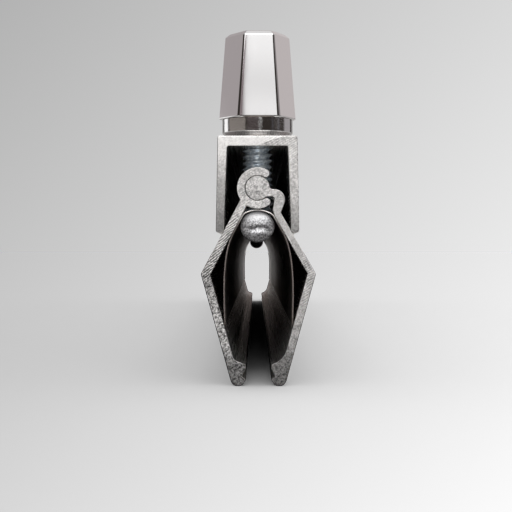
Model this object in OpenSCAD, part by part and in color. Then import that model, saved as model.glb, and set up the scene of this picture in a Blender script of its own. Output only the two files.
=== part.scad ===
// Hinged sheet clamp: a U channel, two jaws hinged on each other inside it, two T-bolts and two knobs.
// Turning the knobs draws the hinge up into the channel, whose feet wedge the jaws shut on the sheets.
// X runs across the jaws, Y along the clamp and Z up. The clamp's toes stand on Z = 0.

/* [Clamp] */
// Length of the channel and of both jaws
clamp_length = 457.2; // [250:0.1:1070]
// Distance from each end of the clamp to the axis of its bolt
bolt_inset = 9.6; // [9.5:0.1:40]

/* [Channel] */
// Width over the top plate
channel_top_width = 16; // [15.4:0.1:17]
// Width over the feet of the legs
channel_foot_width = 16.7; // [16:0.1:18]
// Height from the feet to the top of the plate
channel_height = 19.4; // [18.6:0.1:20.4]
// Thickness of the top plate
plate_thickness = 2.1; // [1.2:0.1:3]
// Thickness of a leg just under the plate
leg_root_thickness = 1.9; // [1.4:0.1:2.2]
// Thickness of a leg at its foot
leg_foot_thickness = 1.6; // [1.2:0.1:2]
// Radius on the corners of a foot
foot_radius = 0.5; // [0.2:0.05:0.6]
// Radius inside and outside the corners of the plate
plate_corner_radius = 0.35; // [0.1:0.05:0.6]

/* [Hinge] */
// Height of the plate's top above the hinge axis
hinge_drop = 10.5; // [10:0.1:11.2]
// Diameter of the hinge bead
bead_diameter = 4.9; // [4.5:0.05:5.2]
// Wall of the hinge socket
socket_wall = 1.63; // [1.3:0.05:1.8]
// Direction of the socket's upper lip, above level
upper_lip_angle = 61; // [55:1:70]
// Direction of the socket's lower lip, below level
lower_lip_angle = 57; // [55:1:62]
// Length of hinge cut away around each bolt
hinge_notch = 8.2; // [8:0.1:9]
// How far below the hinge axis the cut reaches
notch_drop = 7; // [6.8:0.1:7.6]
// Radial clearance of the bead in its socket
bead_clearance = 0.08; // [0.03:0.01:0.1]

/* [Jaws] */
// Distance from the hinge axis to the outer face of the socket jaw's upper web
socket_web_offset = 1.95; // [1.85:0.05:2.1]
// The same distance for the bead jaw
bead_web_offset = 1.6; // [1.5:0.05:1.75]
// Thickness of the socket jaw's upper web
socket_upper_thickness = 1.7; // [1.5:0.05:1.75]
// Thickness of the socket jaw's lower web
socket_lower_thickness = 1.7; // [1.5:0.05:1.8]
// Thickness of the bead jaw's upper web
bead_upper_thickness = 1.4; // [1.2:0.05:1.5]
// Thickness of the bead jaw's lower web
bead_lower_thickness = 1.6; // [1.4:0.05:1.7]
// Length of the socket jaw's upper web, on its outer face down to the elbow
socket_upper_web_length = 20.5; // [19:0.1:22]
// The same length for the bead jaw
bead_upper_web_length = 20.7; // [19:0.1:22]
// Distance from the middle of the clamp to the centre of the socket jaw's toe
socket_toe_x = 3.91; // [3.8:0.01:5]
// The same distance for the bead jaw
bead_toe_x = 4.34; // [3.8:0.01:5]
// Outside radius of the socket jaw's elbow
socket_elbow_radius = 0.6; // [0.3:0.1:1.5]
// Outside radius of the bead jaw's elbow
bead_elbow_radius = 1.2; // [0.3:0.1:1.5]
// Radius inside the corner over the socket jaw's lips
socket_shelf_radius = 1.2; // [0.8:0.1:1.6]
// Radius inside the corner over the bead jaw's lips
bead_shelf_radius = 4; // [3:0.1:4.2]
// Distance from the hinge axis down to the centres of the rounded toes
toe_drop = 38.1; // [36:0.1:40]
// Radius of a toe
toe_radius = 1.5; // [1.3:0.05:1.7]
// How far the lips stand in from the outer face of a lower web
lip_reach = 3.7; // [3.4:0.05:3.8]
// Depth of the notch between the two lips of a jaw
lip_notch = 1.2; // [0.6:0.05:1.3]

/* [Bolts] */
// Diameter of a bolt's stud
stud_diameter = 6.35; // [6:0.05:6.4]
// Height of the stud's end above the plate
stud_reach = 12.5; // [9:0.1:13]
// Diameter of the cross head
head_diameter = 6.3; // [6:0.05:6.4]
// Width over the flash line of the cross head
head_flash_width = 7.1; // [6.5:0.05:7.2]
// Length of the cross head along the clamp
head_length = 18; // [12:0.1:18.6]
// Distance from the hinge axis down to the middle of the cross head
head_drop = 7.72; // [7.7:0.01:7.9]
// Rise of the domed end of the cross head
head_dome = 2; // [0.3:0.1:2.5]

/* [Leaf spring] */
// Thickness of the spring strip
spring_thickness = 0.28; // [0.15:0.01:0.3]
// How far the spring stays back from each end of the clamp
spring_setback = 0.8; // [0.3:0.1:5]
// Distance from the hinge axis down to the ends of the spring's legs
spring_drop = 27.9; // [24:0.1:30]

/* [Knobs] */
// Width of the cap over its two side corners at its base
knob_base_width = 16; // [15.2:0.1:17]
// Width of the cap over its two side corners at its top
knob_top_width = 13.3; // [12.6:0.1:15]
// Width of the cap over its front and back faces at its base
knob_face_base = 13.1; // [12.2:0.1:13.6]
// Width of the cap over its front and back faces at its top
knob_face_top = 12.6; // [11:0.1:12.8]
// Height of the cap
knob_height = 17.7; // [15:0.1:20]
// Angle by which the knobs are turned from square to the clamp
knob_turn = 3; // [-30:1:30]
// Radius on the top edge of the cap
knob_shoulder = 1; // [0.4:0.1:1.5]
// Diameter of the bush's flange, below the cap
flange_diameter = 14.5; // [12:0.1:14.8]
// Height of the flange
flange_height = 4; // [3:0.1:5]
// Bevel on the lower edge of the flange
flange_bevel = 0.7; // [0.3:0.1:1.5]
// Diameter of the bush's sleeve, inside the cap
sleeve_diameter = 9.6; // [8.6:0.1:10]
// Height of the sleeve above the flange
sleeve_height = 12; // [11.9:0.1:13]

/* [Clearances] */
// Radial clearance of a stud in its bush
thread_clearance = 0.06; // [0.02:0.01:0.1]
// Radial clearance of a stud in the plate and in the spring
hole_clearance = 0.25; // [0.15:0.01:0.4]
// Gap left where two separate pieces touch
seat_gap = 0.02; // [0.01:0.005:0.04]

/* [Hidden] */
$fn = 64;
arc_steps = 6;
overrun = 1;

ALUMINIUM = [0.80, 0.79, 0.77];
ZINC = [0.66, 0.68, 0.70];
SPRING_STEEL = [0.45, 0.43, 0.42];
CHROME = [0.86, 0.85, 0.85];

bead_radius = bead_diameter / 2;
socket_radius = bead_radius + bead_clearance;
socket_outer = socket_radius + socket_wall;
half_length = clamp_length / 2;
bolt_y = half_length - bolt_inset;

// The foot of a leg rests on the outer face of each upper web, which sets how far the web leans.
// The foot's inner corner is round, about a centre at corner_x and corner_drop from the hinge axis.
corner_x = channel_foot_width / 2 - leg_foot_thickness + foot_radius;
corner_drop = channel_height - hinge_drop - foot_radius;

hinge_z = toe_drop + toe_radius;
plate_z = hinge_z + hinge_drop;
knob_z = plate_z + seat_gap;

// Directions in the XZ plane for a wall that leans towards +X: down along it, and square out of it.
function down_wall(lean) = [sin(lean), -cos(lean)];
function out_of_wall(lean) = [cos(lean), sin(lean)];
function arc(centre, radius, from, to, steps = arc_steps) =
    [for (i = [0:steps]) let (a = from + (to - from) * i / steps) centre + radius * [cos(a), sin(a)]];
// The points of a Bezier curve, without its first one.
function bezier(a, b, c, d, steps) =
    [for (i = [1:steps]) let (t = i / steps, s = 1 - t)
        s * s * s * a + 3 * s * s * t * b + 3 * s * t * t * c + t * t * t * d];
function backwards(points) = [for (i = [len(points) - 1:-1:0]) points[i]];
function mirrored(points) = [for (point = backwards(points)) [-point[0], point[1]]];

// Both jaws are drawn on the +X side. Each has its web offset, then its upper web's length and thickness,
// its lower web's thickness, its elbow's outside radius, the place of its toe and its shelf's radius.
SOCKET_SIDE = [
    socket_web_offset, socket_upper_web_length, socket_upper_thickness,
    socket_lower_thickness, socket_elbow_radius, socket_toe_x, socket_shelf_radius
];
BEAD_SIDE = [
    bead_web_offset, bead_upper_web_length, bead_upper_thickness,
    bead_lower_thickness, bead_elbow_radius, bead_toe_x, bead_shelf_radius
];
function offset_of(jaw) = jaw[0];
function upper_length_of(jaw) = jaw[1];
function upper_thickness_of(jaw) = jaw[2];
function lower_thickness_of(jaw) = jaw[3];
function elbow_radius_of(jaw) = jaw[4];
function toe_centre_of(jaw) = [jaw[5], -toe_drop];
function shelf_radius_of(jaw) = jaw[6];

function web_lean(jaw) =
    let (corner_to_web = offset_of(jaw) + foot_radius + seat_gap)
    acos(corner_to_web / norm([corner_x, corner_drop])) - atan2(corner_drop, corner_x);

// A point of the upper web: down from the foot of the hinge's perpendicular, and in from the outer face.
function upper_web_at(jaw, down, inset) =
    (offset_of(jaw) - inset) * out_of_wall(web_lean(jaw)) + down * down_wall(web_lean(jaw));
// The lower web's outer face runs from the elbow, and touches the round of the toe.
function toe_to_elbow(jaw) = upper_web_at(jaw, upper_length_of(jaw), 0) - toe_centre_of(jaw);
function toe_lean(jaw) =
    let (span = toe_to_elbow(jaw)) atan2(span[0], span[1]) - asin(toe_radius / norm(span));
function bend_of(jaw) = web_lean(jaw) + toe_lean(jaw);
function toe_of(jaw) = toe_centre_of(jaw) + toe_radius * out_of_wall(-toe_lean(jaw));
// A point of the lower web: down from where the toe's round begins, and in from the outer face.
function toe_at(jaw, down, inset) =
    toe_of(jaw) + down * down_wall(-toe_lean(jaw)) - inset * out_of_wall(-toe_lean(jaw));

// Extrudes a profile drawn in X and Z, with Z = 0 on the hinge axis, along the clamp.
module along_clamp(length, y = 0) {
    translate([0, y + length / 2, hinge_z])
        rotate([90, 0, 0])
            linear_extrude(length)
                children();
}

module at_both_ends() {
    for (end = [-1, 1])
        translate([0, end * bolt_y, 0])
            children();
}

// ---- channel

module channel_profile() {
    top = hinge_drop;
    under = top - plate_thickness;
    foot = top - channel_height;
    outer_top = channel_top_width / 2;
    outer_foot = channel_foot_width / 2;
    inner_top = outer_top - leg_root_thickness;
    inner_foot = outer_foot - leg_foot_thickness;
    r = plate_corner_radius;
    right = concat(
        arc([inner_foot + foot_radius, foot + foot_radius], foot_radius, 180, 270),
        arc([outer_foot - foot_radius, foot + foot_radius], foot_radius, 270, 360),
        arc([outer_top - r, top - r], r, 0, 90)
    );
    inner = arc([inner_top - r, under - r], r, 90, 0);
    polygon(concat(right, mirrored(right), mirrored(inner), inner));
}

module channel() {
    color(ALUMINIUM)
        difference() {
            along_clamp(clamp_length) channel_profile();
            at_both_ends()
                translate([0, 0, plate_z - plate_thickness - overrun])
                    cylinder(h = plate_thickness + 2 * overrun, d = stud_diameter + 2 * hole_clearance);
        }
}

// ---- jaws

// Heights of the lips on a lower web, up from where the toe's round begins.
lower_lip_rise = -0.6;
notch_rise = 0.15;
upper_lip_rise = 1.45;
upper_lip_height = 0.85;
shelf_height = 1.45;
// The lower lip and the foot of the upper lip stand back a little from the tip.
lower_lip_setback = 0.75;
upper_lip_setback = 0.2;
toe_round_end = -130;

// The shelf over the lips slopes up to the lower web's inner face, and meets it in a round corner.
function shelf_corner(jaw) =
    let (
        lower = lower_thickness_of(jaw),
        radius = shelf_radius_of(jaw),
        slope = atan2(lip_reach - lower, shelf_height),
        centre_rise = upper_lip_rise + upper_lip_height + shelf_height + radius * tan(slope / 2)
    )
    [for (i = [arc_steps:-1:0]) let (a = slope * i / arc_steps)
        toe_at(jaw, radius * sin(a) - centre_rise, lower + radius * (1 - cos(a)))];

// Elbow, toe and lips of a jaw, closed over the top of its web by the points that are given.
module web_profile(jaw, top) {
    upper = upper_thickness_of(jaw);
    lower = lower_thickness_of(jaw);
    bend = bend_of(jaw);
    radius = elbow_radius_of(jaw);
    round_start = upper_length_of(jaw) - radius * tan(bend / 2);
    inner_elbow = upper_length_of(jaw) - (lower - upper * cos(bend)) / sin(bend);
    outer = concat(
        arc(upper_web_at(jaw, round_start, radius), radius, web_lean(jaw), -toe_lean(jaw)),
        arc(toe_centre_of(jaw), toe_radius, -toe_lean(jaw), toe_round_end)
    );
    lips = [
        toe_at(jaw, -lower_lip_rise, lip_reach - lower_lip_setback),
        toe_at(jaw, -notch_rise, lip_reach - upper_lip_setback - lip_notch),
        toe_at(jaw, -upper_lip_rise, lip_reach - upper_lip_setback),
        toe_at(jaw, -upper_lip_rise - upper_lip_height, lip_reach)
    ];
    polygon(concat(outer, lips, shelf_corner(jaw), [upper_web_at(jaw, inner_elbow, upper)], top));
}

module hinge_notches() {
    at_both_ends()
        translate([-2 * socket_outer, -hinge_notch / 2, hinge_z - notch_drop])
            cube([4 * socket_outer, hinge_notch, notch_drop + 2 * socket_outer]);
}

lip_mid = socket_radius + socket_wall / 2;
// How far, in degrees, the round end of a lip runs back into the wall.
lip_overlap = 40;

module socket_profile() {
    difference() {
        circle(r = socket_outer);
        polygon(concat([[0, 0]], arc([0, 0], 2 * socket_outer, -lower_lip_angle, upper_lip_angle)));
    }
    lip_end(upper_lip_angle, 1);
    lip_end(-lower_lip_angle, -1);
}

// Rounds one end of the socket's wall. The turn is +1 or -1, away from the opening's far lip.
module lip_end(angle, turn) {
    rotate(angle)
        translate([lip_mid, 0])
            polygon(arc([0, 0], socket_wall / 2 - seat_gap, turn * lip_overlap, -turn * 180, 2 * arc_steps));
}

module socket_jaw() {
    web_top = [
        upper_web_at(SOCKET_SIDE, lip_mid, socket_upper_thickness),
        upper_web_at(SOCKET_SIDE, lip_mid, 0)
    ];
    color(ALUMINIUM)
        difference() {
            union() {
                along_clamp(clamp_length) socket_profile();
                along_clamp(clamp_length) mirror([1, 0]) web_profile(SOCKET_SIDE, web_top);
            }
            translate([0, 0, hinge_z])
                rotate([90, 0, 0])
                    cylinder(h = clamp_length + 2 * overrun, r = socket_radius, center = true);
            hinge_notches();
        }
}

// The neck leaves the bead level, turns down round the socket's lower lip and runs into the upper web.
neck_root_x = 0.7 * bead_radius;
neck_root_top = 0.6;
neck_inner_radius = 0.6;
neck_outer_radius = 2.1;
neck_outer_from = 102;
neck_outer_to = -25;
neck_drop = 2.3;
neck_inner_centre = [socket_outer - neck_inner_radius - 0.75, -neck_drop];
neck_outer_centre = neck_inner_centre + [neck_inner_radius, 0];
neck_heel = neck_inner_centre + [0.22, -2];
neck_web_start = 6.6;
neck_outline = concat(
    [upper_web_at(BEAD_SIDE, neck_web_start, bead_upper_thickness), neck_heel],
    arc(neck_inner_centre, neck_inner_radius, 0, 90),
    [[neck_root_x, neck_inner_radius - neck_drop], [neck_root_x, neck_root_top]],
    arc(neck_outer_centre, neck_outer_radius, neck_outer_from, neck_outer_to, 2 * arc_steps),
    [upper_web_at(BEAD_SIDE, neck_web_start, 0)]
);

module bead_jaw() {
    color(ALUMINIUM)
        difference() {
            union() {
                translate([0, 0, hinge_z])
                    rotate([90, 0, 0])
                        cylinder(h = clamp_length, r = bead_radius, center = true);
                along_clamp(clamp_length) web_profile(BEAD_SIDE, neck_outline);
            }
            hinge_notches();
        }
}

// ---- leaf spring

// Middle line of one half of the strip: over the cross head, down along the upper web, then bowed
// out to the lower web.
crown_radius = 5.6;
crown_turn = 24;
crown_top = head_drop - head_diameter / 2 - 2 * seat_gap - spring_thickness / 2;
crown_handle_length = 0.4;
web_touch_start = 6.5;
web_touch_end = 10.4;
web_handle_length = 4.5;
leg_handle_length = 7;
leg_lean = -2;

function spring_line(jaw) =
    let (
        crown = arc([0, -crown_top - crown_radius], crown_radius, 90, 90 - crown_turn, 4),
        crown_end = crown[len(crown) - 1],
        inset = seat_gap + spring_thickness / 2,
        web_start = upper_web_at(jaw, web_touch_start, upper_thickness_of(jaw) + inset),
        web_end = upper_web_at(jaw, web_touch_end, upper_thickness_of(jaw) + inset),
        leg_rise = (toe_of(jaw)[1] + spring_drop) / cos(toe_lean(jaw)),
        leg_end = toe_at(jaw, leg_rise, lower_thickness_of(jaw) + inset)
    )
    concat(
        crown,
        bezier(
            crown_end, crown_end + crown_handle_length * down_wall(90 - crown_turn),
            web_start - crown_handle_length * down_wall(web_lean(jaw)), web_start, 4
        ),
        [web_end],
        bezier(
            web_end, web_end + web_handle_length * down_wall(web_lean(jaw)),
            leg_end - leg_handle_length * down_wall(leg_lean), leg_end, 12
        )
    );

function side_of(points, i, distance) =
    let (
        before = points[max(i - 1, 0)],
        after = points[min(i + 1, len(points) - 1)],
        along = (after - before) / norm(after - before)
    )
    points[i] + distance * [-along[1], along[0]];
function offset_line(points, distance) = [for (i = [0:len(points) - 1]) side_of(points, i, distance)];

module spring_profile() {
    left = spring_line(SOCKET_SIDE);
    right = spring_line(BEAD_SIDE);
    line = concat(mirrored([for (i = [1:len(left) - 1]) left[i]]), right);
    polygon(concat(
        offset_line(line, spring_thickness / 2),
        backwards(offset_line(line, -spring_thickness / 2))
    ));
}

module leaf_spring() {
    color(SPRING_STEEL)
        difference() {
            along_clamp(clamp_length - 2 * spring_setback) spring_profile();
            at_both_ends()
                translate([0, 0, hinge_z - head_drop])
                    cylinder(h = head_drop, d = stud_diameter + 2 * hole_clearance);
        }
}

// ---- bolts

// The flash line is the side corners of a flat diamond that is let into the round head.
flash_diamond_height = 0.7 * head_diameter;

module head_profile() {
    circle(d = head_diameter);
    polygon([
        [-head_flash_width / 2, 0], [0, -flash_diamond_height / 2],
        [head_flash_width / 2, 0], [0, flash_diamond_height / 2]
    ]);
}

module t_bolt() {
    dome_radius = (pow(head_flash_width / 2, 2) + pow(head_dome, 2)) / (2 * head_dome);
    color(ZINC) {
        translate([0, 0, hinge_z - head_drop])
            cylinder(h = head_drop + hinge_drop + stud_reach, d = stud_diameter);
        for (end = [-1, 1])
            intersection() {
                along_clamp(head_length / 2, end * head_length / 4)
                    translate([0, -head_drop]) head_profile();
                translate([0, end * (head_length / 2 - dome_radius), hinge_z - head_drop])
                    sphere(r = dome_radius);
            }
    }
}

module t_bolt_front() {
    translate([0, -bolt_y, 0]) t_bolt();
}

module t_bolt_rear() {
    translate([0, bolt_y, 0]) t_bolt();
}

// ---- knobs

// The cap is a hexagon that tapers upwards, made of three crossed wedges. A cone trims its side corners.
side_face_turn = 30;
corner_trim = 0.1;
side_face_base = (knob_base_width + 2 * corner_trim) * cos(side_face_turn);
side_face_top = (knob_top_width + 2 * corner_trim) * cos(side_face_turn);

module cap_wedge(base_width, top_width) {
    half_base = base_width / 2;
    half_top = top_width / 2;
    slope = atan2(half_base - half_top, knob_height);
    shoulder_z = knob_height - knob_shoulder;
    shoulder_x = half_top + knob_shoulder * tan(slope) - knob_shoulder / cos(slope);
    right = concat([[half_base, 0]], arc([shoulder_x, shoulder_z], knob_shoulder, slope, 90));
    rotate([90, 0, 0])
        linear_extrude(2 * knob_base_width, center = true)
            polygon(concat(right, mirrored(right)));
}

module knob_cap() {
    color(CHROME)
        translate([0, 0, knob_z + flange_height])
            rotate(knob_turn)
                difference() {
                    intersection() {
                        rotate(90) cap_wedge(knob_face_base, knob_face_top);
                        rotate(side_face_turn) cap_wedge(side_face_base, side_face_top);
                        rotate(-side_face_turn) cap_wedge(side_face_base, side_face_top);
                        cylinder(h = knob_height, d1 = knob_base_width, d2 = knob_top_width);
                    }
                    translate([0, 0, -overrun])
                        cylinder(h = sleeve_height + seat_gap + overrun, d = sleeve_diameter + 2 * seat_gap);
                }
}

module threaded_bush() {
    color(CHROME)
        translate([0, 0, knob_z])
            difference() {
                union() {
                    cylinder(h = flange_bevel, d1 = flange_diameter - 2 * flange_bevel, d2 = flange_diameter);
                    translate([0, 0, flange_bevel])
                        cylinder(h = flange_height - flange_bevel, d = flange_diameter);
                    cylinder(h = flange_height + sleeve_height, d = sleeve_diameter);
                }
                translate([0, 0, -overrun])
                    cylinder(
                        h = flange_height + sleeve_height + 2 * overrun,
                        d = stud_diameter + 2 * thread_clearance
                    );
            }
}

module knob_cap_front() {
    translate([0, -bolt_y, 0]) knob_cap();
}

module knob_cap_rear() {
    translate([0, bolt_y, 0]) knob_cap();
}

module threaded_bush_front() {
    translate([0, -bolt_y, 0]) threaded_bush();
}

module threaded_bush_rear() {
    translate([0, bolt_y, 0]) threaded_bush();
}

channel();
socket_jaw();
bead_jaw();
leaf_spring();
t_bolt_front();
knob_cap_front();
threaded_bush_front();
t_bolt_rear();
knob_cap_rear();
threaded_bush_rear();
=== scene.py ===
import math

import bmesh
import bpy
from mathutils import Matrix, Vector


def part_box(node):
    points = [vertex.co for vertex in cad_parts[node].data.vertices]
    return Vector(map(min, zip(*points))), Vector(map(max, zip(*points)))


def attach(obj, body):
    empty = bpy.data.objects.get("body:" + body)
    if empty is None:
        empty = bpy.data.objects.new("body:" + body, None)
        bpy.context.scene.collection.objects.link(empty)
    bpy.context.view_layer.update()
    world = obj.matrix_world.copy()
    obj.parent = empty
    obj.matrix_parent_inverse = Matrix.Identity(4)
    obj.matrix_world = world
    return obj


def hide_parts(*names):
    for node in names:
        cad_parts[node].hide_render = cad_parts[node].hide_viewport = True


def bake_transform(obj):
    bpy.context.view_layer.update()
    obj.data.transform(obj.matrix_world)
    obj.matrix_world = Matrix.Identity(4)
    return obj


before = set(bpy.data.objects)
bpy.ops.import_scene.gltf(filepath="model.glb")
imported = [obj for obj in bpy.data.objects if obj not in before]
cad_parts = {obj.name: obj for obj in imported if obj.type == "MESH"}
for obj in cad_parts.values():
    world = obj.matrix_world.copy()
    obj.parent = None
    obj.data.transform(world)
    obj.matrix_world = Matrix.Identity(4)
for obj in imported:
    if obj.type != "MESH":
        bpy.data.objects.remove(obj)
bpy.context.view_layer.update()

scene = bpy.context.scene
scene.view_settings.view_transform = "Standard"
mm = 0.001
front, rear = -1, 1  # the two ends of the clamp along Y
hingeZ = 39.6  # height of the hinge's axis, in mm
white = (1, 1, 1, 1)
black = (0, 0, 0, 1)
sameSpot = 1e-7  # points nearer than this, in metres, become one

print("frame loaded:", len(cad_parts), "nodes")


# The camera looks level at the front end face, from just below the channel.
camera = {
    "place": (-0.3 * mm, -490.6 * mm, 26.8 * mm),
    "tilt": 90,
    "lens": 92.1,
    "sensor": 36,
    "lift": -0.0078,  # vertical shift, which frames the knob and the floor
    "clip": (0.01, 50),
}


def makeCamera():
    data = bpy.data.cameras.new("camera")
    data.lens = camera["lens"]
    data.sensor_width = camera["sensor"]
    data.shift_y = camera["lift"]
    data.clip_start, data.clip_end = camera["clip"]
    eye = bpy.data.objects.new("camera", data)
    eye.location = camera["place"]
    eye.rotation_euler = (math.radians(camera["tilt"]), 0, 0)
    scene.collection.objects.link(eye)
    scene.camera = eye


makeCamera()


# One output socket. Sums written with it become Math nodes.
class Wire:
    def __init__(self, tree, socket):
        self.tree = tree
        self.socket = socket

    def out(self, name):
        return Wire(self.tree, self.socket.node.outputs[name])

    def maths(self, operation, *values):
        return self.tree.node("Math", {"operation": operation}, dict(enumerate(values)))

    def __add__(self, other):
        return self.maths("ADD", self, other)

    def __radd__(self, other):
        return self.maths("ADD", other, self)

    def __sub__(self, other):
        return self.maths("SUBTRACT", self, other)

    def __rsub__(self, other):
        return self.maths("SUBTRACT", other, self)

    def __mul__(self, other):
        return self.maths("MULTIPLY", self, other)

    def __rmul__(self, other):
        return self.maths("MULTIPLY", other, self)

    def __truediv__(self, other):
        return self.maths("DIVIDE", self, other)

    def __pow__(self, other):
        return self.maths("POWER", self, other)

    def __neg__(self):
        return self.maths("MULTIPLY", self, -1)

    def __abs__(self):
        return self.maths("ABSOLUTE", self)

    # 0 below low, 1 above high, with a soft step between
    def rise(self, low, high):
        ends = {"Value": self, "From Min": low, "From Max": high}
        return self.tree.node("MapRange", {"interpolation_type": "SMOOTHSTEP"}, ends)

    def limit(self, low, high):
        return self.maths("MAXIMUM", self.maths("MINIMUM", self, high), low)

    # 1 between low and high, with soft edges
    def between(self, low, high, soft):
        return self.rise(low - soft, low + soft) * (1 - self.rise(high - soft, high + soft))


# The node tree of one material, or of the world.
class Tree:
    def __init__(self, owner):
        owner.use_nodes = True
        self.nodes = owner.node_tree.nodes
        self.links = owner.node_tree.links
        self.nodes.clear()

    def node(self, kind, settings=None, sockets=None):
        made = self.nodes.new("ShaderNode" + kind)
        for name, value in (settings or {}).items():
            if name == "stops":
                self.setStops(made.color_ramp, value)
            else:
                setattr(made, name, value)
        for name, value in (sockets or {}).items():
            if isinstance(value, Wire):
                self.links.new(value.socket, made.inputs[name])
            else:
                made.inputs[name].default_value = value
        shown = [socket for socket in made.outputs if socket.enabled]
        return Wire(self, shown[0]) if shown else None

    def setStops(self, ramp, stops):
        while len(ramp.elements) > 1:
            ramp.elements.remove(ramp.elements[-1])
        for index, (place, colour) in enumerate(stops):
            stop = ramp.elements[0] if index == 0 else ramp.elements.new(place)
            stop.position = place
            stop.color = colour

    def split(self, vector):
        parts = self.node("SeparateXYZ", sockets={"Vector": vector})
        return parts, parts.out("Y"), parts.out("Z")

    def scaled(self, vector, factors):
        return self.node("VectorMath", {"operation": "MULTIPLY"}, {0: vector, 1: factors})

    # noise whose grains are as long in each direction as sizes says, in millimetres
    def grain(self, place, sizes, detail=2, roughness=0.5):
        factors = [1 / (size * mm) for size in sizes]
        settings = {"Vector": self.scaled(place, factors), "Scale": 1}
        settings.update({"Detail": detail, "Roughness": roughness})
        return self.node("TexNoise", sockets=settings)

    # amount 0 gives the first colour and 1 the second
    def mixed(self, amount, first, second):
        sockets = {"Fac": amount, "Color1": first, "Color2": second}
        return self.node("MixRGB", {"blend_type": "MIX"}, sockets)

    def shaded(self, colour, amount):
        return self.mixed(amount, black, colour)

    # a value read off (height, value) pairs, with heights in millimetres
    def byHeight(self, pairs, height):
        top = pairs[-1][0]
        stops = [(level / top, (value, value, value, 1)) for level, value in pairs]
        return self.node("ValToRGB", {"stops": stops}, {"Fac": height / (top * mm)})


def colourOf(red, green, blue):
    return (red, green, blue, 1)


# A material with one Principled shader.
class Finish(Tree):
    def __init__(self, name):
        self.material = bpy.data.materials.new(name)
        super().__init__(self.material)
        self.place = self.node("TexCoord").out("Object")
        self.facing = self.node("NewGeometry").out("Normal")

    def close(self, bump=None, strength=1.0, distance=0.0001, **sockets):
        inputs = {name.replace("_", " "): value for name, value in sockets.items()}
        if bump is not None:
            heights = {"Height": bump, "Strength": strength, "Distance": distance}
            inputs["Normal"] = self.node("Bump", sockets=heights)
        shader = self.node("BsdfPrincipled", sockets=inputs)
        self.node("OutputMaterial", sockets={"Surface": shader})
        return self.material


# Mill-finish extrusions: fine lines along their walls, a sawn, speckled cut at both ends, broken edges.
# Sizes are in mm, places are X and Z, and facings are parts of a face's normal.
aluminium = {
    "metal": colourOf(0.80, 0.79, 0.77),
    "sawn": colourOf(0.95, 0.93, 0.915),
    "dieLines": (0.35, 90, 0.35),  # sizes of the grains
    "clouds": (14, 60, 14),
    "speckles": (0.42, 0.42, 0.42),
    "mottle": (2.2, 2.2, 2.2),
    "cutFacing": (0.8, 0.97),  # along Y: where the sawn cut begins, and where it is full
    "edgeFacing": (0.12, 0.9, 0.08),  # the broken edges lie between these two, softened by the third
    "topFacing": (0.05, 0.35),  # upward: broken edges get no painted shade from here
    "glintFacing": (0.2, 0.4),  # upward: they begin to get a painted glint, and a smoother finish
    "leftFacing": (-0.45, -0.15),  # along X: the edges on the left, which get the darkest painted shade
    "leftReach": (-2, -1),  # and where in X they end
    "paintedEdgeShade": 0.92,  # painted shade on the broken edges: how light they are, against the walls; those that face up stay bright
    "paintedEdgeShadeLeft": 0.02,  # painted shade: the outer edges on the left are darkest
    "paintedAndPolishedGlint": 0.35,  # painted highlight: how much lighter the edges that face up are
    "hingeGap": (2.44, 2.58, 0.04),  # painted shade lies between two radii round the hinge, softened by the third
    "hingeGapShade": 0.4,  # how light the painted shade leaves the metal
    "hingeGapShadeEnd": (0.9, 1.5),  # in X; the neck of the bead jaw has none
    "arcCentre": (11.8, 22.7),  # middle of a coarser saw cut
    "arcRadius": 28,
    "arcEdge": 0.1,  # how sharp its edge is
    "arcFade": (0.5, 4, 0.8),  # it fades between two depths inside that edge, by the third
    "sawCentre": (120, -150),  # middle of the saw blade
    "sawPitch": 0.43,
    "sawWander": 3.5,  # how far the saw lines stray from their circles, in radians
    "sawWave": (-0.8, 0.8),  # the part of the wave across them that shows
    "sawSoft": 1.5,  # how softly the sawn area ends
    "shadeAcross": (-5, 0),  # where the shade on the left side fades out in X
    "shadeUp": (38, 49),  # and in Z
    "cutLevels": (0.05, 1.2),  # the darkest and the lightest that the cut may be, before its tones
    "roughWall": 0.28,
    "roughCut": 0.4,
    "metalWall": 0.94,
    "metalCut": 0.62,
    "relief": 0.05,  # depth of lines and speckle
}

# For each extrusion: how strong its saw lines are, where they show (from X, to X, from Z, to Z), how much
# darker the left side's lower half is, how dark the coarser saw cut is, how cloudy the cut is, how wide the
# broken edges are, and how light the cut is and how strong its speckle, as pairs of height and value.
extrusions = {
    "channel": {
        "finish": "channelAluminium",
        "saw": 0.2,
        "sawArea": (1.5, 10, 45.5, 52),
        "leftShade": 0.38,
        "arc": 0.36,
        "mottle": 0.16,
        "brokenEdge": 0.17,
        "tones": ((30, 0.32), (33, 0.45), (38, 0.72), (46, 0.84), (49, 0.96), (51, 1)),
        "speckle": ((30, 0.3), (35, 0.24), (44, 0.22), (46.5, 0.12), (49, 0.08), (51, 0.08)),
    },
    "socket_jaw": {
        "finish": "socketJawAluminium",
        "saw": 1.0,
        "sawArea": (-13, -4, 21, 34),
        "leftShade": 0,
        "arc": 0,
        "mottle": 0.2,
        "brokenEdge": 0.13,
        "tones": (
            (0, 0.26), (4, 0.29), (8, 0.70), (15, 0.65), (20, 0.47), (24, 0.70), (32, 0.78), (38, 0.74),
            (44, 0.70),
        ),
        "speckle": (
            (0, 0.75), (8, 0.7), (15, 0.62), (21, 0.7), (26, 0.45), (32, 0.36), (37, 0.28), (44, 0.28),
        ),
    },
    "bead_jaw": {
        "finish": "beadJawAluminium",
        "saw": 0.4,
        "sawArea": (4, 13, 16, 26),
        "leftShade": 0,
        "arc": 0,
        "mottle": 0.34,
        "brokenEdge": 0.13,
        "tones": (
            (0, 0.2), (5, 0.27), (9, 0.54), (20, 0.64), (26, 0.68), (36, 0.55), (39, 0.68), (44, 0.68),
        ),
        "speckle": (
            (0, 0.7), (6, 0.55), (12, 0.3), (20, 0.24), (26, 0.2), (30, 0.14), (34, 0.2), (38, 0.36),
            (44, 0.36),
        ),
    },
}


def inMetres(sizes):
    return [size * mm for size in sizes]


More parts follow.
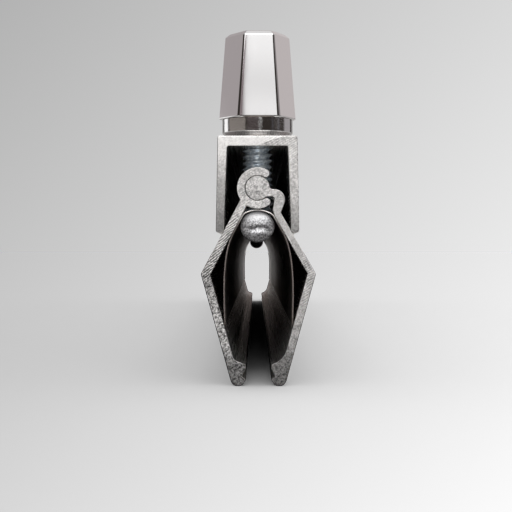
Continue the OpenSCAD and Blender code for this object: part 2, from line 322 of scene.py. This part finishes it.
def distanceFrom(x, z, centre):
    across, up = x - centre[0] * mm, z - centre[1] * mm
    return (across * across + up * up) ** 0.5


# Three masks: the cut ends, painted shade on the broken edges that don't face up (darkest on the left), and
# the edges that face up, which get a painted glint.
def edgeMasks(finish, x):
    faceSide, faceAlong, faceUp = finish.split(finish.facing)
    towardEnd = abs(faceAlong)
    cut = towardEnd.rise(*aluminium["cutFacing"])
    broken = towardEnd.between(*aluminium["edgeFacing"])
    toLeft = 1 - x.rise(*inMetres(aluminium["leftReach"]))
    leftOut = (1 - faceSide.rise(*aluminium["leftFacing"])) * toLeft
    darkening = (aluminium["paintedEdgeShade"] - aluminium["paintedEdgeShadeLeft"]) * leftOut + (1 - aluminium["paintedEdgeShade"])
    paintedEdgeShade = broken * (1 - faceUp.rise(*aluminium["topFacing"])) * darkening
    return cut, paintedEdgeShade, broken * faceUp.rise(*aluminium["glintFacing"])


# Painted shade in the gap round the hinge's bead, as a factor on the metal's lightness.
def hingeGapShade(x, z):
    inGap = distanceFrom(x, z, (0, hingeZ)).between(*inMetres(aluminium["hingeGap"]))
    dirty = inGap * (1 - x.rise(*inMetres(aluminium["hingeGapShadeEnd"])))
    return 1 - (1 - aluminium["hingeGapShade"]) * dirty


# The darker edge that a second, coarser saw cut left, which fades inward.
def coarserCut(x, z):
    inside = aluminium["arcRadius"] * mm - distanceFrom(x, z, aluminium["arcCentre"])
    edge = aluminium["arcEdge"] * mm
    start, end, fade = aluminium["arcFade"]
    shade = inside.rise(-edge, edge) * (1 - fade * inside.rise(start * mm, end * mm))
    return shade * x.rise(0, mm)


# marks is a piece's entry in extrusions.
def aluminiumFinish(marks):
    finish = Finish(marks["finish"])
    place = finish.place
    x, y, z = finish.split(place)
    cut, paintedEdgeShade, paintedAndPolishedGlint = edgeMasks(finish, x)
    # painted shade in the hinge's gap, for the cut and the walls
    gapShade = hingeGapShade(x, z)
    dieLines = finish.grain(place, aluminium["dieLines"], detail=3)
    clouds = finish.grain(place, aluminium["clouds"], detail=2)
    speckles = finish.grain(place, aluminium["speckles"], detail=4, roughness=0.75).rise(0.36, 0.64)
    mottle = finish.grain(place, aluminium["mottle"], detail=3).rise(0.3, 0.7)

    perPitch = math.tau / (aluminium["sawPitch"] * mm)
    turns = distanceFrom(x, z, aluminium["sawCentre"]) * perPitch + aluminium["sawWander"] * mottle
    sawMarks = turns.maths("SINE", turns).rise(*aluminium["sawWave"])
    fromX, toX, fromZ, toZ = inMetres(marks["sawArea"])
    soft = aluminium["sawSoft"] * mm
    sawn = x.between(fromX, toX, soft) * z.between(fromZ, toZ, soft)
    lines = marks["saw"] * (1 - sawMarks) * (sawn * 0.85 + 0.15) - 0.3 * marks["saw"] * sawn

    coarse = 2 * finish.byHeight(marks["speckle"], z)
    worn = coarse * (0.65 - speckles) + lines + marks["mottle"] * (0.6 - mottle)
    if marks["arc"]:
        worn = worn + marks["arc"] * coarserCut(x, z) * (1.3 - 0.6 * speckles)
    shadeX = 1 - x.rise(*inMetres(aluminium["shadeAcross"]))
    shadeZ = 1 - z.rise(*inMetres(aluminium["shadeUp"]))
    cutLevel = ((1 - worn) * (1 - marks["leftShade"] * shadeX * shadeZ)).limit(*aluminium["cutLevels"])
    cutLevel = cutLevel * finish.byHeight(marks["tones"], z) * gapShade
    # the walls' lightness carries painted shade on broken edges and in the hinge's gap, then a painted
    # glint
    wallLevel = (0.9 + 0.22 * (dieLines - 0.5) + 0.12 * (clouds - 0.5)) * (1 - paintedEdgeShade) * gapShade
    # painted highlight on the edges that face up; they are also less rough
    wallLevel = wallLevel + aluminium["paintedAndPolishedGlint"] * paintedAndPolishedGlint
    cutColour = finish.shaded(aluminium["sawn"], cutLevel)
    wallColour = finish.shaded(aluminium["metal"], wallLevel)
    roughWall = aluminium["roughWall"] + 0.18 * (dieLines - 0.5) - 0.14 * paintedAndPolishedGlint
    roughCut = aluminium["roughCut"] + 0.2 * (speckles - 0.5)
    relief = coarse * speckles + 0.8 * marks["saw"] * sawMarks * sawn
    return finish.close(
        bump=cut * relief + (1 - cut) * 0.12 * dieLines,
        strength=0.7,
        distance=aluminium["relief"] * mm,
        Base_Color=finish.mixed(cut, wallColour, cutColour),
        Roughness=cut * roughCut + (1 - cut) * roughWall,
        Metallic=cut * (aluminium["metalCut"] - aluminium["metalWall"]) + aluminium["metalWall"],
    )


breaking = {
    "weld": 0.03,  # mm
    "flat": 0.5,  # degrees: flatter than this, faces become one, so that the edges bevel cleanly
    "edge": 40,  # degrees: edges sharper than this are broken
    "segments": 2,
}


# Takes the sharpness off every edge of a part, as sawing and tumbling do.
def breakEdges(part, width):
    weld = part.modifiers.new("weld", "WELD")
    weld.merge_threshold = breaking["weld"] * mm
    flats = part.modifiers.new("flats", "DECIMATE")
    flats.decimate_type = "DISSOLVE"
    flats.angle_limit = math.radians(breaking["flat"])
    bevel = part.modifiers.new("brokenEdges", "BEVEL")
    bevel.width = width * mm
    bevel.use_clamp_overlap = False
    bevel.segments = breaking["segments"]
    bevel.limit_method = "ANGLE"
    bevel.angle_limit = math.radians(breaking["edge"])
    smooth = part.modifiers.new("smooth", "WEIGHTED_NORMAL")
    smooth.keep_sharp = False


for node, marks in extrusions.items():
    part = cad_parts[node]
    part.data.materials.clear()
    part.data.materials.append(aluminiumFinish(marks))
    breakEdges(part, marks["brokenEdge"])

print("extrusions finished")


def cleanShape(mesh):
    shape = bmesh.new()
    shape.from_mesh(mesh)
    bmesh.ops.remove_doubles(shape, verts=shape.verts, dist=sameSpot)
    return shape


def pieceOf(name, mesh, shape):
    shape.to_mesh(mesh)
    shape.free()
    piece = bpy.data.objects.new(name, mesh)
    scene.collection.objects.link(piece)
    return piece


# A new piece from points in mm. faceFinish picks the finish of the face whose middle it is given, and edges
# that turn by more than sharp, in degrees, stay crisp.
def meshPiece(name, points, faces, finishes, faceFinish=None, sharp=35):
    mesh = bpy.data.meshes.new(name)
    mesh.from_pydata([[c * mm for c in point] for point in points], [], faces)
    for finish in finishes:
        mesh.materials.append(finish)
    shape = cleanShape(mesh)
    bmesh.ops.recalc_face_normals(shape, faces=shape.faces)
    for face in shape.faces:
        face.smooth = True
        if faceFinish:
            face.material_index = faceFinish(face.calc_center_median() / mm)
    for edge in shape.edges:
        edge.smooth = len(edge.link_faces) == 2 and edge.calc_face_angle() < math.radians(sharp)
    return pieceOf(name, mesh, shape)


# Faces between closed rings of equally many points. closed also covers the first and the last ring.
def skin(rings, closed=True):
    count = len(rings[0])
    points = [point for ring in rings for point in ring]
    faces = []
    for row in range(len(rings) - 1):
        for i in range(count):
            j = (i + 1) % count
            low, high = row * count, (row + 1) * count
            faces.append((low + i, low + j, high + j, high + i))
    if closed:
        last = (len(rings) - 1) * count
        faces.append(tuple(reversed(range(count))))
        faces.append(tuple(range(last, last + count)))
    return points, faces


def circleAt(radius, z, count, centre=(0, 0), start=-90):
    turns = [math.radians(start + 360 * i / count) for i in range(count)]
    return [(centre[0] + radius * math.cos(a), centre[1] + radius * math.sin(a), z) for a in turns]


def arcPoints(centre, radius, start, end, steps):
    turns = [math.radians(start + (end - start) * i / steps) for i in range(steps + 1)]
    return [(centre[0] + radius * math.cos(a), centre[1] + radius * math.sin(a)) for a in turns]


# Bright plating with faint smears. Sizes are in mm.
chrome = {
    "smears": (5, 5, 9),
    "hairlines": (0.6, 0.6, 12),
    "grit": (0.35, 0.35, 0.35),
    "rough": 0.035,
    "smearRough": 0.05,  # added where it is smeared
    "hairRough": 0.02,
    "relief": 0.05,
}


# pits says how rough the turned wall under the plating is.
def chromeFinish(name, colour, pits):
    finish = Finish(name)
    smears = finish.grain(finish.place, chrome["smears"], detail=3).rise(0.5, 0.8)
    hairlines = finish.grain(finish.place, chrome["hairlines"], detail=2)
    grit = finish.grain(finish.place, chrome["grit"], detail=3, roughness=0.7)
    return finish.close(
        bump=grit, strength=pits, distance=chrome["relief"] * mm, Base_Color=colour, Metallic=1.0,
        Roughness=chrome["rough"] + chrome["smearRough"] * smears + chrome["hairRough"] * hairlines,
    )


# The cap of a knob: a tapered hexagon with crowned flats. Sizes are in mm.
knob = {
    "colour": colourOf(0.68, 0.67, 0.67),
    "faceBase": 13.1,  # across the front and back flats
    "faceTop": 12.6,
    "sideBase": 16.0,  # across the side corners
    "sideTop": 13.3,
    "shoulder": 0.85,  # height of the chamfer round the top
    "chamfer": (  # its section, as shares of that height: up, and in
        (0.06, 0.01), (0.12, 0.04), (0.2, 0.11), (0.5, 0.4),
        (0.8, 0.7), (0.9, 0.81), (0.97, 0.92), (1, 1.06),
    ),
    "topRings": (2.5, 5),  # how far in the rings on the flat top lie
    "heightShares": (0.25, 0.5, 0.75),  # rings up the flats
    "lowerEdge": 0.3,
    "lowerSteps": 5,
    "edgeHold": 0.12,  # a ring this far from an edge keeps the flat beside it flat
    "cornerBase": 0.95,
    "cornerTop": 0.6,
    "cornerLoss": 0.4,  # how much of its radius a corner loses for each mm of inset
    "sharpest": 0.1,
    "sideCorner": 0.3,  # the two side corners are sharper
    "crown": 0.03,  # how far the middle of a flat stands proud of its edges
    "turn": 3,  # degrees from square with the clamp
    "socketRadius": 4.85,  # the bore that the bush sits in
    "socketDepth": 12,
    "cornerSteps": 6,
    "flatShares": (0.015, 0.2, 0.4, 0.6, 0.8, 0.985),  # points along a flat
}


# One ring round the cap, at a height above its foot and a distance inside its surface.
def hexRing(height, inset, total):
    share = height / total
    faces = (knob["faceBase"] + (knob["faceTop"] - knob["faceBase"]) * share) / 2
    corners = (knob["sideBase"] + (knob["sideTop"] - knob["sideBase"]) * share) / 2
    sides = corners * math.cos(math.radians(30))
    soft = knob["cornerBase"] + (knob["cornerTop"] - knob["cornerBase"]) * share
    normals = [-90 + 60 * i for i in range(6)]
    reach = [(faces if i % 3 == 0 else sides) - inset - knob["crown"] for i in range(6)]
    ring = []
    for i in range(6):
        j = (i + 1) % 6
        onSide = i % 3 == 1
        radius = knob["sideCorner"] if onSide else max(soft - knob["cornerLoss"] * inset, knob["sharpest"])
        a, b = math.radians(normals[i]), math.radians(normals[i] + 60)
        da, db = reach[i] - radius, reach[j] - radius
        cross = math.sin(b - a)
        centre = (
            (da * math.sin(b) - db * math.sin(a)) / cross,
            (db * math.cos(a) - da * math.cos(b)) / cross,
        )
        ring.append(arcPoints(centre, radius, normals[i], normals[i] + 60, knob["cornerSteps"]))
    points = []
    for i in range(6):
        points += ring[i]
        start, end = ring[i][-1], ring[(i + 1) % 6][0]
        out = math.radians(normals[i] + 60)
        for t in knob["flatShares"]:
            bulge = knob["crown"] * 4 * t * (1 - t)
            points.append((
                start[0] + (end[0] - start[0]) * t + bulge * math.cos(out),
                start[1] + (end[1] - start[1]) * t + bulge * math.sin(out),
            ))
    return points


def knobCap(node, body):
    low, high = (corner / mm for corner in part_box(node))
    total = high.z - low.z
    middle = ((low.x + high.x) / 2, (low.y + high.y) / 2)
    edge, shoulder, hold = knob["lowerEdge"], knob["shoulder"], knob["edgeHold"]
    levels = []  # height and inset of each ring
    steps = knob["lowerSteps"]
    for step in range(steps + 1):
        a = math.radians(90 * step / steps)
        levels.append((edge * (1 - math.cos(a)), edge * (1 - math.sin(a))))
    levels.append((edge + hold, 0))
    levels += [(total * share, 0) for share in knob["heightShares"]]
    levels += [(total - shoulder - hold, 0), (total - shoulder, 0)]
    levels += [(total - shoulder * (1 - rise), shoulder * inset) for rise, inset in knob["chamfer"]]
    levels += [(total, inset) for inset in knob["topRings"]]
    turn = math.radians(knob["turn"])
    rings = []
    for height, inset in levels:
        rings.append([
            (
                middle[0] + x * math.cos(turn) - y * math.sin(turn),
                middle[1] + x * math.sin(turn) + y * math.cos(turn),
                low.z + height,
            )
            for x, y in hexRing(height, inset, total)
        ])
    bore, count, start = knob["socketRadius"], len(rings[0]), knob["turn"] - 90
    mouth = circleAt(bore, low.z, count, middle, start)
    ceiling = circleAt(bore, low.z + knob["socketDepth"], count, middle, start)
    points, faces = skin([ceiling, mouth] + rings)
    piece = meshPiece(node + "_shell", points, faces, [knobChrome], sharp=50)
    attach(piece, body)
    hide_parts(node)


# The bush below a cap: a turned sleeve with a flange, whose bevelled underside stands on a smaller foot.
bush = {
    "wall": {"colour": colourOf(0.64, 0.63, 0.63), "pits": 0.3},
    "shoulder": {"colour": colourOf(0.10, 0.085, 0.075), "pits": 0.6},  # painted shade: a near-black copy of the chrome on the foot, under the flange's bevel, and on the flange's rim, under the cap
    "bevel": {"colour": colourOf(0.34, 0.33, 0.33), "pits": 0.9},
    "foot": 0.45,
    "lowerBevel": 0.75,
    "edge": 0.12,
    "flange": 4.0,  # its top, above the plate
    "boreRadius": 3.2,
    "sleeveRadius": 4.78,
    "sleeveEnd": 0.1,  # the sleeve ends this far below the bore's ceiling
    "count": 144,
}


def flangedBush(node, body):
    low, high = (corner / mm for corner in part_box(node))
    middle = ((low.x + high.x) / 2, (low.y + high.y) / 2)
    radius = (high.x - low.x) / 2
    bevel, edge = bush["lowerBevel"], bush["edge"]
    top = low.z + bush["flange"]
    foot = low.z + bush["foot"]
    sleeveTop = high.z - bush["sleeveEnd"]
    outline = [
        (bush["boreRadius"], sleeveTop),
        (bush["boreRadius"], low.z),
        (radius - bevel, low.z),
        (radius - bevel, foot - edge),
        (radius - bevel + 0.3 * edge, foot),
        (radius - 1.4 * edge, foot + bevel - 1.7 * edge),
        (radius - edge, foot + bevel - 1.3 * edge),
        (radius - 0.25 * edge, foot + bevel - 0.4 * edge),
        (radius, foot + bevel + 0.7 * edge),
        (radius, foot + bevel + 1.1 * edge),
        (radius, top - edge),
        (radius, top - 0.5 * edge),
        (radius - 0.5 * edge, top),
        (bush["sleeveRadius"], top),
        (bush["sleeveRadius"], sleeveTop),
    ]
    rings = [circleAt(r, z, bush["count"], middle) for r, z in outline]
    points, faces = skin(rings + [rings[0]], closed=False)
    rim = top - 0.6 * edge
    bevelTop = foot + bevel - 0.8 * edge

    def finishAt(place):
        # finish 1 is the painted shade on the foot and at the flange's rim
        if place.z < foot - 0.2 * edge or rim < place.z < rim + 1:
            return 1
        return 2 if place.z < bevelTop else 0

    piece = meshPiece(node + "_turned", points, faces, bushFinishes, faceFinish=finishAt, sharp=32)
    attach(piece, body)
    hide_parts(node)


knobChrome = chromeFinish("knobChrome", knob["colour"], pits=0.0)
bushFinishes = [
    chromeFinish("bushChrome", **bush["wall"]),
    chromeFinish("bushShoulderShade", **bush["shoulder"]),
    chromeFinish("bushBevel", **bush["bevel"]),
]
for place in ("front", "rear"):
    knobCap("knob_cap_" + place, "knob_" + place)
    flangedBush("threaded_bush_" + place, "knob_" + place)

print("knobs made")


# Dull plating with flakes, and a painted highlight: lighter and less metallic above the heights given for
# it.
# metallic is below 1, so that it also takes light from all round.
def zincFinish(name, bright, dull, rough, grainSize, metallic, paintedHighlightFrom):
    finish = Finish(name)
    paintedHighlight = finish.split(finish.place)[2].rise(*inMetres(paintedHighlightFrom))
    flakes = finish.grain(finish.place, [grainSize] * 3, detail=4, roughness=0.65)
    clouds = finish.grain(finish.place, [3.5 * grainSize] * 3, detail=2)
    level = flakes.rise(0.38, 0.62) * (1 - 0.25 * paintedHighlight) + 0.75 * paintedHighlight
    return finish.close(
        bump=flakes + 0.4 * clouds, strength=0.8, distance=0.08 * mm,
        Base_Color=finish.mixed(level, dull, bright),
        Metallic=metallic - 0.3 * paintedHighlight, Roughness=rough + 0.3 * (clouds - 0.4),
    )


# A T-bolt: a threaded stud on a short cross head, which lies along the clamp. Sizes are in mm.
bolt = {
    "studPlating": {
        "bright": colourOf(0.88, 0.96, 1.0),
        "dull": colourOf(0.42, 0.50, 0.60),
        "rough": 0.16,
        "grainSize": 0.6,
        "metallic": 0.66,
        "paintedHighlightFrom": (90, 91),  # above the whole stud, so nowhere
    },
    "headPlating": {
        "bright": colourOf(0.56, 0.56, 0.57),
        "dull": colourOf(0.12, 0.12, 0.125),
        "rough": 0.3,
        "grainSize": 0.34,
        "metallic": 0.66,
        # painted highlight on the top of the head
        "paintedHighlightFrom": (32.4, 34.4),
    },
    "studRadius": 3.175,
    "rootRadius": 2.52,
    "pitch": 1.27,
    "threadCount": 40,  # points round one turn
    "crest": (0.12, 0.44, 0.56, 0.88),  # where the thread's flanks start and end, as shares of the pitch
    "fade": 0.8,  # the last part of the thread runs out over this height
    "phase": 0.32,  # how far round the thread starts, as a share of a turn
    "headDrop": 7.66,  # from the hinge's axis down to the middle of the head
    "headRadius": 3.1,
    "flashReach": 3.46,  # radius at the two sides, where the dies left a flash
    "headProud": 0.3,  # how far the forged end stands out past the plain head
    "dome": 1.35,  # how far the ends are domed
    "domeSteps": 22,
    "seam": (0.12, -0.3, -1.65),  # heights of the forging seam's upper edge, bottom and lower edge
    "seamDepth": 0.55,
    "seamMiddle": (0.25, 1.5, 0.3),  # across: where it is deepest, how wide that is, how deep it is beside
    "seamWaves": ((0.13, 1.9, 0.4), (0.07, 4.7, 2.0)),  # how it wanders: height, waves over X, start
    "headCount": 96,
}


# The head is wider than it is high.
def headRadiusAt(turn):
    return bolt["headRadius"] + (bolt["flashReach"] - bolt["headRadius"]) * abs(math.cos(turn)) ** 3


# How deep the seam across the domed end is, at a place on it.
def seamAt(across, height):
    upper, bottom, lower = bolt["seam"]
    height -= sum(rise * math.sin(waves * across + start) for rise, waves, start in bolt["seamWaves"])
    if height > bottom:
        share = (upper - height) / (upper - bottom)
    else:
        share = (height - lower) / (bottom - lower)
    share = min(max(share, 0), 1)
    middle, width, beside = bolt["seamMiddle"]
    fade = beside + (1 - beside) * math.exp(-(((across - middle) / width) ** 2))
    return fade * bolt["seamDepth"] * share * share * (3 - 2 * share)


# Rings over the front dome, and back over the rear one.
def headRings(low, high, middleZ):
    rings = []
    dome, steps = bolt["dome"], bolt["domeSteps"]
    for end, wall in ((front, low.y - bolt["headProud"]), (rear, high.y)):
        turns = range(1, steps + 1) if end == front else range(steps, 0, -1)
        for step in turns:
            a = math.radians(90 * step / steps)
            share = math.sin(a)
            ring = []
            for i in range(bolt["headCount"]):
                turn = math.tau * i / bolt["headCount"]
                r = share * headRadiusAt(turn)
                across, height = r * math.cos(turn), r * math.sin(turn)
                depth = dome * (1 - math.cos(a)) + seamAt(across, height) * math.cos(a)
                ring.append((across, wall - end * depth, middleZ + height))
            rings.append(ring)
    return rings


# One helical ridge round the stud. A ring's points rise by one pitch in a turn.
def threadRings(low, high, middle):
    count = bolt["threadCount"]
    pitch = bolt["pitch"]
    root, crest = bolt["rootRadius"], bolt["studRadius"]
    rise, top, topEnd, foot = bolt["crest"]
    profile = [(0, root), (rise, root), (top, crest), (topEnd, crest), (foot, root)]
    rings = []
    turns = int((high - low) / pitch) + 1
    for turn in range(-1, turns + 1):
        for share, radius in profile:
            ring = []
            for i in range(count):
                z = low + (turn + share + i / count + bolt["phase"]) * pitch
                z = min(max(z, low), high)
                taper = min(1, max(0.0, (high - z) / bolt["fade"]))
                r = root + (radius - root) * taper
                a = math.tau * i / count
                ring.append((middle[0] + r * math.cos(a), middle[1] + r * math.sin(a), z))
            rings.append(ring)
    return rings


# A turn's last points join the first ones of the next turn, which is lift rings on.
def threadSkin(rings, count, lift):
    points = [point for ring in rings for point in ring]
    faces = []
    rows = len(rings)
    for row in range(rows - 1):
        for i in range(count - 1):
            low, high = row * count, (row + 1) * count
            faces.append((low + i, low + i + 1, high + i + 1, high + i))
        if row + lift + 1 < rows:
            low, high = row * count, (row + 1) * count
            lowNext, highNext = (row + lift) * count, (row + lift + 1) * count
            faces.append((low + count - 1, lowNext, highNext, high + count - 1))
    return points, faces


def tBolt(node):
    low, high = (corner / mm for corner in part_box(node))
    middleZ = hingeZ - bolt["headDrop"]
    middle = (0, (low.y + high.y) / 2)
    points, faces = skin(headRings(low, high, middleZ))
    head = meshPiece(node + "_head", points, faces, [headZinc], sharp=60)
    rings = threadRings(middleZ, high.z, middle)
    points, faces = threadSkin(rings, bolt["threadCount"], len(bolt["crest"]) + 1)
    stud = meshPiece(node + "_stud", points, faces, [studZinc], sharp=70)
    for piece in (head, stud):
        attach(piece, "hinge_bolts")
        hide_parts(node)


studZinc = zincFinish("studZinc", **bolt["studPlating"])
headZinc = zincFinish("headZinc", **bolt["headPlating"])
for place in ("front", "rear"):
    tBolt("t_bolt_" + place)

print("bolts made")


# The leaf spring: one strip folded over the cross heads, with a leg bowed out to each jaw. Sizes are in mm.
spring = {
    "blued": (colourOf(0.30, 0.265, 0.245), colourOf(0.22, 0.205, 0.21)),  # its faces, clean and stained
    "edges": (colourOf(0.34, 0.30, 0.28), colourOf(0.85, 0.83, 0.80)),  # its edges, low and high
    "edgeChange": (32, 34),  # the heights between which the edges turn bright
    "rolled": (0.3, 45, 0.3),  # sizes of the rolling lines
    "stains": (6, 18, 6),
    "rough": 0.3,
    "relief": 0.02,
    "edgeRound": 0.08,
    "edgeSteps": 2,
    "edgeAngle": 60,  # degrees; edges sharper than this are rounded
    "start": (-5.4, 0, 35),  # two places by the hinge, read into start and end; nothing bends the strip
    "end": (5.4, 0, 35),
}


def springFinish():
    finish = Finish("springSteel")
    bright = finish.split(finish.place)[2].rise(*inMetres(spring["edgeChange"]))
    edgeColour = finish.mixed(bright, *spring["edges"])
    rolled = finish.grain(finish.place, spring["rolled"], detail=3)
    stains = finish.grain(finish.place, spring["stains"], detail=3)
    blued = finish.mixed(stains.rise(0.4, 0.7), *spring["blued"])
    edge = abs(finish.split(finish.facing)[1]).rise(0.3, 0.7)
    return finish.close(
        bump=rolled, strength=0.2, distance=spring["relief"] * mm,
        Base_Color=finish.mixed(edge, blued, edgeColour),
        Metallic=0.9, Roughness=spring["rough"] + 0.15 * (stains - 0.5),
    )


# The strip's own shape, with its rolled edges rounded off.
def springStrip():
    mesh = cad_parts["leaf_spring"].data.copy()
    mesh.materials.clear()
    mesh.materials.append(springFinish())
    shape = cleanShape(mesh)
    corner = math.radians(spring["edgeAngle"])
    edges = [e for e in shape.edges if len(e.link_faces) == 2 and e.calc_face_angle() > corner]
    bmesh.ops.bevel(
        shape, geom=edges, offset=spring["edgeRound"] * mm, segments=spring["edgeSteps"],
        profile=0.5, affect="EDGES", clamp_overlap=True,
    )
    for face in shape.faces:
        face.smooth = True
    return pieceOf("leaf_spring_strip", mesh, shape)


strip = springStrip()
start, end = tuple(inMetres(spring["start"])), tuple(inMetres(spring["end"]))
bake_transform(strip)
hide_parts("leaf_spring")

print("spring made")


# Floor, backdrop and soft lights, in metres.
stage = {
    "floorSize": 60,
    "floor": colourOf(0.80, 0.80, 0.80),
    # painted reflections: the floor looks darker in metal than to the camera
    "floorInMetal": colourOf(0.62, 0.61, 0.60),
    "paintedDarkInMetal": colourOf(0.10, 0.09, 0.085),  # painted dark reflection: strips before and behind the clamp that only its metal sees
    "paintedDarkFront": (0.06, -0.7, -0.226),  # how far it reaches to each side, and where it lies along Y
    "paintedDarkRear": (0.02, 0.24, 1.2),
    "paintedDarkEdges": (0.01, 0.004),  # how soft its edges are, across and along
    "paper": (0.84, 0.384),  # lightness of the backdrop, and how it grows to the right and downward
    "paperLimits": (0.66, 0.995),
    "paperGamma": 2.2,
    "fill": 0.62,  # light from all round
    "softboxes": {  # place, size, glow, and what it is aimed at
        "keySoftbox": ((0.14, -1.75, 0.92), (1.7, 1.25), 1.2, (0, -0.2, 0.04)),
        "topSoftbox": ((0, -0.1, 1.3), (1.2, 1.2), 0.9, (0, 0, 0.04)),
    },
}

# What polished metal sees in each direction: azimuth in degrees from the front, positive to the right,
# and elevation. Each patch lies over those before it: azimuth span, elevation span, softness of the sides
# and of the ends, colour, and how far the span moves back with each degree of elevation above slantFrom.
studio = {
    "room": colourOf(0.045, 0.038, 0.034),
    "slantFrom": 8,
    "patches": (
        ((-200, 200), (16, 91), (1.5, 2), colourOf(0.42, 0.42, 0.42), 0),
        ((150, 200), (-90, 7.2), (2, 1), colourOf(0.42, 0.42, 0.42), 0),
        ((-200, -151), (-90, 7.2), (2, 1), colourOf(0.42, 0.42, 0.42), 0),
        ((-106, -40), (-90, 7.2), (1.5, 1), colourOf(0.36, 0.325, 0.30), 0),
        ((49, 52.5), (-90, 7.2), (1, 1), colourOf(0.15, 0.15, 0.17), 0),
        ((71, 75), (-90, 7.2), (1, 1), colourOf(0.17, 0.17, 0.19), 0),
        ((98, 136), (-90, 7.2), (2, 1), colourOf(0.46, 0.44, 0.45), 0),
        ((-34, 3.9), (7.2, 16), (0.6, 0.6), colourOf(0.30, 0.25, 0.26), 0.15),
        ((58, 106), (7.2, 16), (3, 1), colourOf(0.30, 0.28, 0.28), 0),
        ((3.9, 14), (7.2, 16), (0.25, 0.25), colourOf(1.26, 1.26, 1.26), 0.15),
        ((3.9, 14), (8.3, 9.8), (0.25, 0.9), colourOf(1.05, 1.05, 1.05), 0.15),
        ((-200, -104), (7.5, 90), (3, 1), colourOf(0.49, 0.45, 0.455), 0),
        ((104, 200), (7.5, 90), (3, 1), colourOf(0.68, 0.63, 0.63), 0),
        ((76, 104), (18, 50), (2, 1), colourOf(1.5, 1.5, 1.5), 0),
        ((-200, 200), (72, 91), (1.5, 1), colourOf(1.0, 1.0, 1.0), 0),
        ((-42, 30), (20, 76), (4, 3), colourOf(1.7, 1.7, 1.7), 0),
        ((16, 46), (24, 60), (3, 2), colourOf(3.4, 3.4, 3.4), 0),
        ((-26, 17), (12, 76), (1.5, 1), colourOf(3.3, 3.28, 3.25), 0),
        ((-140, -114), (-90, 9), (1.5, 1), colourOf(1.4, 1.4, 1.4), 0),
    ),
    "farEnd": (0.93, 0.965),  # the dark beyond the far end: Y of the directions where it begins and is full
    "farEndColour": colourOf(0.17, 0.143, 0.132),
}


def makeFloor():
    half = stage["floorSize"] / 2
    mesh = bpy.data.meshes.new("floor")
    corners = [(-half, -half, 0), (half, -half, 0), (half, half, 0), (-half, half, 0)]
    mesh.from_pydata(corners, [], [(0, 1, 2, 3)])
    floor = bpy.data.objects.new("floor", mesh)
    paper = Finish("floorPaper")
    glossy = paper.node("LightPath").out("Is Glossy Ray")
    x, y, z = paper.split(paper.place)
    seen = stage["floorInMetal"]
    softX, softY = stage["paintedDarkEdges"]
    for reach, near, far in (stage["paintedDarkFront"], stage["paintedDarkRear"]):
        paintedDark = x.between(-reach, reach, softX) * y.between(near, far, softY)
        seen = paper.mixed(paintedDark, seen, stage["paintedDarkInMetal"])
    # painted reflections: glossy rays see a darker floor, with dark strips
    tone = paper.mixed(glossy, stage["floor"], seen)
    mesh.materials.append(paper.close(Base_Color=tone, Roughness=0.9))
    scene.collection.objects.link(floor)
    floor.is_shadow_catcher = True  # the backdrop shows through it, under the clamp's shadow


# A large soft lamp that polished metal doesn't show.
def softbox(name, place, size, glow, aim):
    data = bpy.data.lights.new(name, "AREA")
    data.shape = "RECTANGLE"
    data.size, data.size_y = size
    data.energy = glow * math.pi * size[0] * size[1]
    lamp = bpy.data.objects.new(name, data)
    lamp.location = place
    lamp.rotation_euler = (Vector(aim) - Vector(place)).to_track_quat("-Z", "Y").to_euler()
    lamp.visible_glossy = False
    scene.collection.objects.link(lamp)


def makeBackdrop():
    world = bpy.data.worlds.new("studio")
    scene.world = world
    tree = Tree(world)
    direction = tree.node("TexCoord").out("Generated")
    x, y, z = tree.split(direction)
    seen = tree.node("LightPath")
    middle, slope = stage["paper"]
    paper = (middle + slope * (x - z)).limit(*stage["paperLimits"]) ** stage["paperGamma"]
    azimuth = x.maths("ARCTAN2", x, -y) * math.degrees(1)
    elevation = z.maths("ARCSINE", z) * math.degrees(1)
    look = studio["room"]
    for across, up, soft, colour, slant in studio["patches"]:
        leaned = azimuth + slant * (elevation - studio["slantFrom"]) if slant else azimuth
        inside = leaned.between(*across, soft[0]) * elevation.between(*up, soft[1])
        look = tree.mixed(inside, look, colour)
    look = tree.mixed(y.rise(*studio["farEnd"]), look, studio["farEndColour"])
    fill = tree.shaded(white, stage["fill"])
    unseen = tree.mixed(seen.out("Is Glossy Ray"), fill, look)
    colour = tree.mixed(seen, unseen, tree.shaded(white, paper))
    glow = tree.node("Background", sockets={"Color": colour, "Strength": 1.0})
    tree.node("OutputWorld", sockets={"Surface": glow})


makeFloor()
for name, settings in stage["softboxes"].items():
    softbox(name, *settings)
makeBackdrop()

print("stage made")
